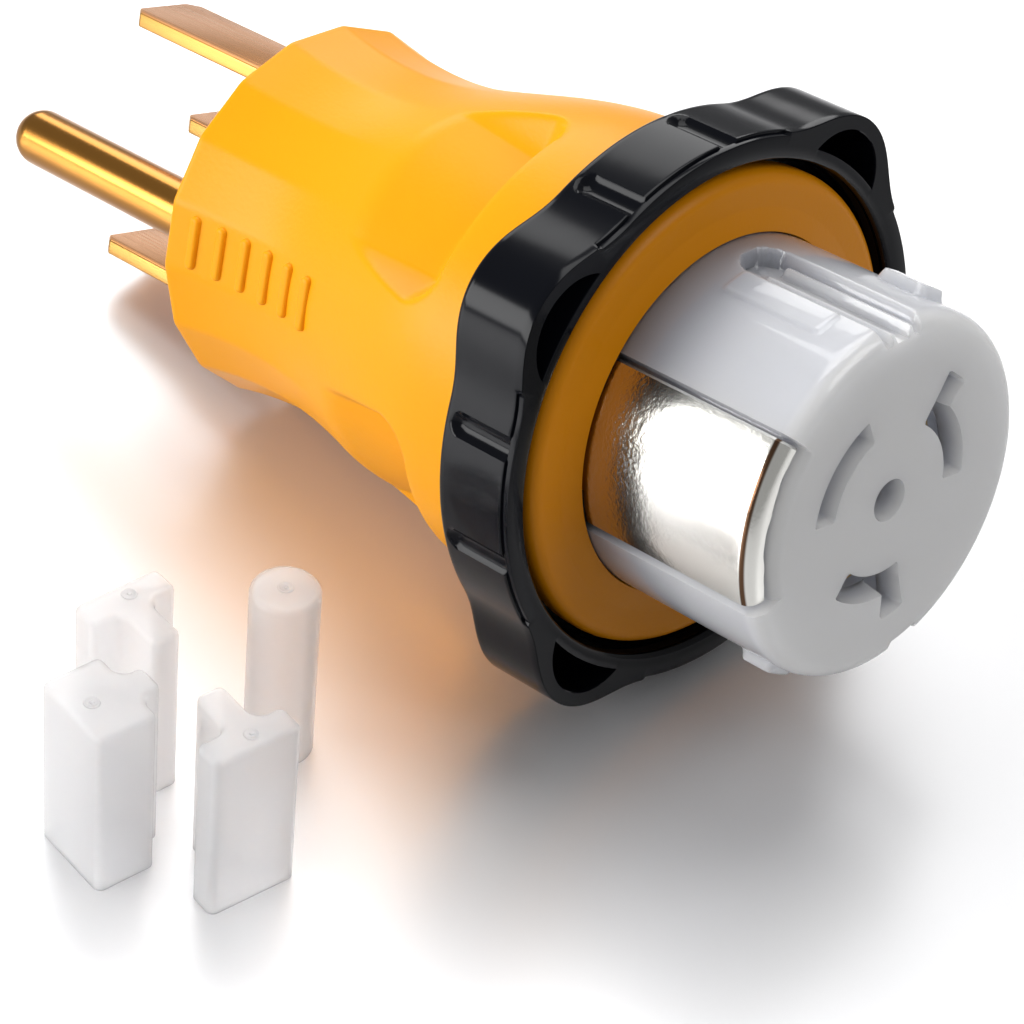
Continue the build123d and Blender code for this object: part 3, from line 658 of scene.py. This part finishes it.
# Ground shell plate: pressed nickel-plated sheet bent to the barrel's round and lying in its window. Its
# front edge is rolled in toward the face, and a strap at its rear goes through the flange to the lead.
sheet = 1.2
plate_out = 23.65
plate_half = 27.6
plate_rear = 0.5
plate_front = 27.7
plate_roll = 2.0
plate_edge_round = 0.35
lip_end = 20.85
strap_start = 1.5
strap_end = -23.2
strap_foot = 15.0
strap_half = 15.0
roll_start = plate_front - plate_roll
bend_outer = arc((roll_start, plate_out - plate_roll), plate_roll, 90, 0, 12)
bend_inner = arc((roll_start, plate_out - plate_roll), plate_roll - sheet, 0, 90, 8)
plate_form = bmesh.new()
plate_rows = []
plate_steps = 72
for step in range(plate_steps + 1):
    share = 2 * step / plate_steps - 1
    edge = barrel_radius * math.radians(plate_half)
    reach = share * edge
    pinch = max(0, abs(reach) - edge + plate_edge_round)
    thin = plate_edge_round - math.sqrt(max(0, plate_edge_round**2 - pinch**2))
    lip_wave = lip_end + 0.14 * (1 + math.sin(reach * 0.7)) + 0.05 * (1 + math.sin(reach * 1.7 + 1))
    profile = [(plate_rear, plate_out - thin), (plate_rear + 0.7, plate_out - thin)]
    for part in range(2, 16):
        profile.append((plate_rear + (roll_start - plate_rear) * part / 16, plate_out - thin))
    for along, out in bend_outer:
        profile.append((along - thin * (along - roll_start) / plate_roll, out - thin * 0.7))
    profile += [(plate_front - thin, lip_wave + 0.2), (plate_front - 0.2, lip_wave)]
    profile += [(plate_front - sheet + 0.2, lip_wave), (plate_front - sheet, lip_wave + 0.2)]
    profile += bend_inner
    profile += [(plate_rear, plate_out - sheet + thin)]
    clock = window_clock + share * plate_half
    plate_rows.append([spot(clock, out, along) for along, out in profile])
skin(plate_form, plate_rows, ends=True)
strap = [
    (strap_start, plate_out - 0.02), (strap_end + sheet / 2, plate_out - 0.02),
    (strap_end, plate_out - sheet / 2), (strap_end, strap_foot), (strap_end + sheet, strap_foot),
    (strap_end + sheet, plate_out - sheet - 0.02), (strap_start, plate_out - sheet + 0.02),
]
strap_rows = []
for step in range(25):
    clock = window_clock - strap_half + 2 * strap_half * step / 24
    strap_rows.append([spot(clock, out, along) for along, out in strap])
skin(plate_form, strap_rows, ends=True)
plate = settle("plate_visual", plate_form)
nickel = Finish("plate_nickel", Metallic=1.0)
forward = nickel.along(axis_way, flange_face)
# Near the flange the sheet has a coarser grain of its own, and its colour turns brown there as a painted
# reflection of the flange
grain_and_painted_reflection = nickel.span(forward, 0.004, 0.011, 1, 0)
sheet_and_painted_reflection = nickel.mix(grain_and_painted_reflection, (0.94, 0.93, 0.88), (0.66, 0.58, 0.47))
# A thin dark brown band along the bend of the rolled edge is a painted reflection
painted_bend_reflection = nickel.span(forward, 0.0259, 0.0261, 0, 1) * nickel.span(forward, 0.0265, 0.0268, 1, 0)
nickel.show(
    Base_Color=nickel.mix(painted_bend_reflection, sheet_and_painted_reflection, (0.13, 0.07, 0.04)),
    Roughness=0.15 + 0.08 * nickel.noise(700, 3),
    Normal=nickel.bump(nickel.noise(1800, 4) * (0.25 + grain_and_painted_reflection), 0.35, 0.00016),
)
dress(plate, nickel, 35)
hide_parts("ground_plate")
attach(plate, "adapter")

# Ground pin: turned brass with a domed nose, thicker and longer than the blades. A shoulder and a foot
# inside the insert hold it, and a cup behind takes the ground lead.
pin_offset = 18.3
pin_radius = 3.95
pin_nose = -114.5
pin_count = 96
pin_shoulder = 4.35
pin_foot = 4.75
shoulder_face = -74.6
foot_front = -69.0
cup_end = -58.0
cup_depth = 5.0
cup_out = 3.0
cup_in = 2.0
pin_profile = [(pin_nose + pin_radius - out, side) for out, side in arc((0, 0), pin_radius, 3, 90, 18)]
pin_profile += [(-90.0, pin_radius), (-75.5, pin_radius), (shoulder_face, pin_radius)]
pin_profile += [(shoulder_face, pin_shoulder), (foot_front, pin_shoulder), (foot_front, pin_foot)]
pin_profile += [(insert_seat, pin_foot), (insert_seat, cup_out), (cup_end, cup_out)]
pin_profile += [(cup_end, cup_in), (cup_end - cup_depth, cup_in)]
pin_form = bmesh.new()
pin_rows = []
for along, radius in pin_profile:
    row = []
    for number in range(pin_count):
        turn = 2 * math.pi * number / pin_count
        sideways = way_out(plug_clock + 90) * math.sin(turn) * radius
        row.append(spot(plug_clock, pin_offset + math.cos(turn) * radius, along) + sideways * mm)
    pin_rows.append(row)
skin(pin_form, pin_rows, ends=True)
pin = settle("pin_visual", pin_form)
gold = Finish("prong_brass", Metallic=1.0)
turned = gold.streaks(1400.0)
gold.show(
    Base_Color=gold.mix(gold.noise(50), (0.45, 0.195, 0.035), (0.52, 0.25, 0.055)),
    Roughness=0.17 + 0.1 * turned,
    Normal=gold.bump(turned, 0.08, 0.0001),
)
dress(pin, gold, 30)
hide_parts("ground_pin")
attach(pin, "adapter")

# Flat blades: three pieces of pressed brass bar with cut corners and rubbed edges, each with a foot in
# the insert and a solder cup. The two line blades stand face to face, the neutral one between them.
blade_half = 5.7
blade_half_thick = 1.05
blade_tip = -110.2
tip_half = 4.2
tip_cut = 1.8
blade_foot_half = 6.5
blade_foot_half_thick = 1.85
line_offset = 16.9
neutral_offset = 12.2
wide = way_out(plug_clock)
thick = way_out(plug_clock + 90)
copper = Finish("blade_brass", Metallic=1.0)
rolled = copper.streaks(900.0)
face_way = copper.node("ShaderNodeTexCoord", {}, {}, "Normal")
facing = copper.vector("DOT_PRODUCT", face_way, tuple(thick), 1)
broad = copper.span(facing * facing, 0.3, 0.8, 0, 1)
copper.show(
    Base_Color=copper.mix(broad, (0.58, 0.31, 0.08), (0.72, 0.32, 0.10)),
    Roughness=0.2 + 0.14 * rolled,
    Normal=copper.bump(rolled, 0.1, 0.0001),
)
bar = (
    (insert_seat, -blade_half), (insert_seat, blade_half), (blade_tip + tip_cut, blade_half),
    (blade_tip, tip_half), (blade_tip, -tip_half), (blade_tip + tip_cut, -blade_half),
)
foot = (
    (insert_seat, -blade_foot_half), (insert_seat, blade_foot_half),
    (foot_front, blade_foot_half), (foot_front, -blade_foot_half),
)
cup_profile = (
    (insert_seat - 0.4, cup_out), (cup_end - 0.1, cup_out), (cup_end, cup_out - 0.1),
    (cup_end, cup_in + 0.1), (cup_end - 0.1, cup_in), (cup_end - cup_depth, cup_in),
)
for name, clock, offset in (
    ("blade_hot_x", plug_clock - 90, line_offset), ("blade_hot_y", plug_clock + 90, line_offset),
    ("blade_neutral", plug_clock + 180, neutral_offset),
):
    middle = spot(clock, offset, 0)
    blade_form = bmesh.new()
    for outline, half_thick, edge in ((bar, blade_half_thick, 0.28), (foot, blade_foot_half_thick, 0.1)):
        solid = bmesh.new()
        faces = []
        for side in (-half_thick, half_thick):
            faces.append([
                solid.verts.new(middle + (axis_way * along + wide * across + thick * side) * mm)
                for along, across in outline
            ])
        solid.faces.new(faces[0])
        solid.faces.new(faces[1])
        for number in range(len(outline)):
            after = (number + 1) % len(outline)
            solid.faces.new((faces[0][number], faces[0][after], faces[1][after], faces[1][number]))
        bmesh.ops.recalc_face_normals(solid, faces=solid.faces)
        bmesh.ops.bevel(
            solid, geom=solid.edges[:], offset=edge * mm, segments=3, profile=0.5, affect="EDGES",
        )
        part_mesh = bpy.data.meshes.new("blade part")
        solid.to_mesh(part_mesh)
        solid.free()
        blade_form.from_mesh(part_mesh)
    cup_rows = []
    for along, radius in cup_profile:
        row = []
        for number in range(40):
            turn = 2 * math.pi * number / 40
            out = (wide * math.cos(turn) + thick * math.sin(turn)) * radius
            row.append(middle + (axis_way * along + out) * mm)
        cup_rows.append(row)
    skin(blade_form, cup_rows, ends=True)
    blade = settle(name + "_visual", blade_form)
    dress(blade, copper, 30)
    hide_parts(name)
    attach(blade, "adapter")

# Plug insert: a dark moulded disc pressed into the plug's end, with slots and a hole that hold the
# prongs by their feet. It is seen only from behind.
dark = Finish("dark_insert", Roughness=0.45)
dark.show(
    Base_Color=dark.mix(dark.noise(90), (0.018, 0.018, 0.02), (0.028, 0.028, 0.03)),
    Normal=dark.bump(dark.noise(1500, 3), 0.15, 0.0001),
)
dress(nodes["plug_insert"], dark)

# Contact carrier: the milky moulded disc that closes the barrel behind and carries the contacts. Three
# screws hold it to the barrel's bosses.
carrier = Finish(
    "carrier", Base_Color=(0.85, 0.87, 0.9), Roughness=0.3, Subsurface_Weight=0.5, Subsurface_Scale=0.003,
)
carrier.show(Normal=carrier.bump(carrier.noise(300), 0.1, 0.0003))
dress(nodes["contact_carrier"], carrier)

# Contacts: pairs of curved leaves stamped from spring brass, held by the carrier behind the face
# slots and seen dimly through them.
spring = Finish("contact_brass", Metallic=1.0)
spring.show(
    Base_Color=spring.mix(spring.noise(200), (0.62, 0.42, 0.17), (0.7, 0.5, 0.22)),
    Roughness=0.25 + 0.1 * spring.noise(900),
)
for name in ("contact_hot_x", "contact_hot_y", "contact_neutral"):
    dress(nodes[name], spring)

# Carrier screws: three zinc-plated steel socket screws inside the body, driven through the carrier
# into the barrel's bosses.
steel = Finish("screw_steel", Metallic=1.0, Base_Color=(0.55, 0.55, 0.56))
steel.show(Roughness=0.28 + 0.1 * steel.noise(1200))
dress(nodes["carrier_screws"], steel)

# Leads: four stranded wires in coloured jackets inside the body, each soldered into the cup of a
# prong and to a contact or the ground plate's strap.
for name, colour in (
    ("lead_hot_x", (0.015, 0.015, 0.016)), ("lead_hot_y", (0.45, 0.02, 0.02)),
    ("lead_neutral", (0.7, 0.7, 0.68)), ("lead_ground", (0.02, 0.22, 0.05)),
):
    jacket = Finish(name, Base_Color=colour, Roughness=0.4)
    jacket.show(Normal=jacket.bump(jacket.noise(500), 0.1, 0.0002))
    dress(nodes[name], jacket)

# Prong caps: thin cups of soft clear plastic, open below, with a T-shaped plan, rounded top edges and
# the mark of the gate on top. They stand loose on the floor where the photo has them.
cap_wall = 0.45
cap_height = 25.4
round_cap_height = 26.4
round_cap_radius = 4.45
cap_bar = 4.4
cap_long = 12.4
cap_block = 8.4
stem_half = 2.0
stem_reach = 9.1
block_stem_reach = 7.3
corner_round = 1.1
corner_fillet = 1.7
soft_clear = Finish(
    "cap_clear", Roughness=0.3, Transmission_Weight=0.6, IOR=1.2, Alpha=0.48, Subsurface_Weight=1.0,
    Subsurface_Radius=(1.0, 1.0, 1.0), Subsurface_Scale=0.002, Coat_Weight=0.5, Coat_Roughness=0.1,
)
soft_clear.show(
    Base_Color=soft_clear.mix(soft_clear.noise(80), (0.97, 0.97, 0.985), (0.99, 0.99, 1.0)),
    Normal=soft_clear.bump(soft_clear.noise(260, 2), 0.08, 0.0004),
)


def tee(inset, half_width, half_depth, reach, stem_middle, half_stem):
    # Plan of a cap: a bar with a stem on its +Y side, drawn in by an inset, corners rounded
    x, y, s = half_width - inset, half_depth - inset, half_stem - inset
    left, right, tip = stem_middle - s, stem_middle + s, reach - inset
    corners = [
        (-x, -y, corner_round), (x, -y, corner_round), (x, y, corner_round),
        (right, y, -corner_fillet), (right, tip, corner_round), (left, tip, corner_round),
        (left, y, -corner_fillet), (-x, y, corner_round),
    ]
    points = []
    for number, (px, py, size) in enumerate(corners):
        before, after = corners[number - 1], corners[(number + 1) % len(corners)]
        here = Vector((px, py))
        back = (Vector(before[:2]) - here).normalized()
        ahead = (Vector(after[:2]) - here).normalized()
        radius = max(0.15, size - inset) if size > 0 else -size + inset
        centre = here + (back + ahead) * radius
        first, last = -ahead, -back
        for step in range(9):
            turn = math.radians(90 * step / 8)
            points.append(centre + (first * math.cos(turn) + last * math.sin(turn)) * radius)
    return points


# The gate's mark, from its rim inward: radius and height above the top
gate_profile = (
    (1.05, -0.06), (1.0, 0.10), (0.85, 0.16), (0.68, 0.10), (0.5, 0.0), (0.3, 0.02), (0.22, 0.2), (0.1, 0.24),
)


def cap_piece(name, beyond, beside, heading, plan, height, gate_place):
    # A cap on the floor, placed from the point below the middle of the flange's face
    turn = math.radians(heading)
    x_way = Vector((math.cos(turn), math.sin(turn), 0))
    y_way = Vector((-math.sin(turn), math.cos(turn), 0))
    foot = Vector((flange_face.x / mm + beyond, flange_face.y / mm + beside, 0))

    def row(inset, up):
        return [(foot + x_way * p.x + y_way * p.y + Vector((0, 0, up))) * mm for p in plan(inset)]

    form = bmesh.new()
    ceiling = height - cap_wall
    inner = [(ceiling, 0.95), (ceiling - 0.12, 0.62), (ceiling - 0.5, cap_wall + 0.02), (0.3, cap_wall)]
    rim = [(0.0, cap_wall - 0.1), (0.0, 0.12), (0.12, 0.0)]
    top_edge = ((0.9, 0.0), (0.52, 0.08), (0.2, 0.3), (0.05, 0.58), (0.0, 0.95))
    outer = [(height - drop, inset) for drop, inset in top_edge]
    skin(form, [row(inset, up) for up, inset in inner + rim + outer], ends=True)
    middle = foot + x_way * gate_place[0] + y_way * gate_place[1] + Vector((0, 0, height))
    gate_rings = []
    for radius, up in gate_profile:
        gate_ring = []
        for number in range(24):
            turn = 2 * math.pi * number / 24
            gate_ring.append((middle + Vector((radius * math.cos(turn), radius * math.sin(turn), up))) * mm)
        gate_rings.append(gate_ring)
    skin(form, gate_rings, ends=True)
    made = settle(name + "_visual", form)
    dress(made, soft_clear, 40)
    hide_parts(name)
    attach(made, "adapter")


def right_plan(inset):
    return tee(inset, cap_long / 2, cap_bar / 2, stem_reach, 0.3, stem_half)


def front_plan(inset):
    return tee(inset, cap_long / 2, cap_block / 2, block_stem_reach, 0.2, cap_bar / 2)


def left_plan(inset):
    return tee(inset, cap_long / 2, cap_bar / 2, stem_reach, 0.0, stem_half)


def round_plan(inset):
    return [Vector(point) for point in arc((0, 0), round_cap_radius - inset, 0, 352.5, 47)]


cap_piece("cap_hot_x", -3.2, -73.6, 83.0, right_plan, cap_height, (0.3, 0.0))
cap_piece("cap_hot_y", -19.1, -83.0, -5.7, front_plan, cap_height, (0.2, -1.2))
cap_piece("cap_neutral", -30.8, -69.3, -95.0, left_plan, cap_height, (-0.6, 0.0))
cap_piece("cap_ground", -18.8, -54.1, 0, round_plan, round_cap_height, (0, 0))

# Floor: a wide pale sheet under the object, softly glossy like a studio table. It looks paler to the
# eye than the light it gives back, and so it keeps the object's shadow and glow.
bpy.ops.mesh.primitive_grid_add(x_subdivisions=1, y_subdivisions=1, size=6)
floor = bpy.context.object
floor.name = "floor"
pale = Finish("floor", Roughness=0.34, Metallic=0.42)
by_eye = pale.node("ShaderNodeLightPath", {}, {}, "Is Camera Ray")
by_gloss = pale.node("ShaderNodeLightPath", {}, {}, "Is Glossy Ray")
pale.show(Base_Color=pale.mix(by_eye + by_gloss, (0.52, 0.52, 0.53), (0.88, 0.88, 0.89)))
dress(floor, pale)

# Camera: a long lens at the photo's angle, from the connector's side and above, tilted a little
camera_place = Vector((269.19, -265.26, 335.91)) * mm
camera_aim = Vector((40.16, -9.24, 40.0)) * mm
camera_tilt = math.radians(5.91)
camera_data = bpy.data.cameras.new("camera")
camera_data.sensor_width = 36
camera_data.lens = 133.59
camera = bpy.data.objects.new("camera", camera_data)
bpy.context.scene.collection.objects.link(camera)
camera.location = camera_place
camera.rotation_mode = "QUATERNION"
look = (camera_aim - camera_place).to_track_quat("-Z", "Y")
camera.rotation_quaternion = look @ Quaternion((0, 0, 1), camera_tilt)
bpy.context.scene.camera = camera

# Lights: a pale studio with soft lamps above, behind, at the left and at the right
world = bpy.data.worlds.new("studio")
bpy.context.scene.world = world
world.use_nodes = True
world.node_tree.nodes["Background"].inputs[0].default_value = (1, 1, 1, 1)
world.node_tree.nodes["Background"].inputs[1].default_value = 0.3


def lamp(name, place, target, size, power):
    data = bpy.data.lights.new(name, "AREA")
    data.shape = "RECTANGLE"
    data.size, data.size_y = size
    data.energy = power
    made = bpy.data.objects.new(name, data)
    made.location = place
    made.rotation_mode = "QUATERNION"
    made.rotation_quaternion = (Vector(target) - Vector(place)).to_track_quat("-Z", "Y")
    bpy.context.scene.collection.objects.link(made)


object_middle = (0.03, 0, 0.03)
lamp("overhead", (-0.2, 0.2, 0.75), object_middle, (0.5, 0.5), 2.8)
lamp("behind", (-0.55, 0.48, 0.42), object_middle, (0.6, 0.35), 2.1)
lamp("left", (-0.4, -0.78, 0.24), object_middle, (0.9, 0.36), 8)
lamp("right", (0.55, 0.25, 0.6), object_middle, (0.4, 0.4), 1.6)

bpy.context.scene.view_settings.view_transform = "Standard"
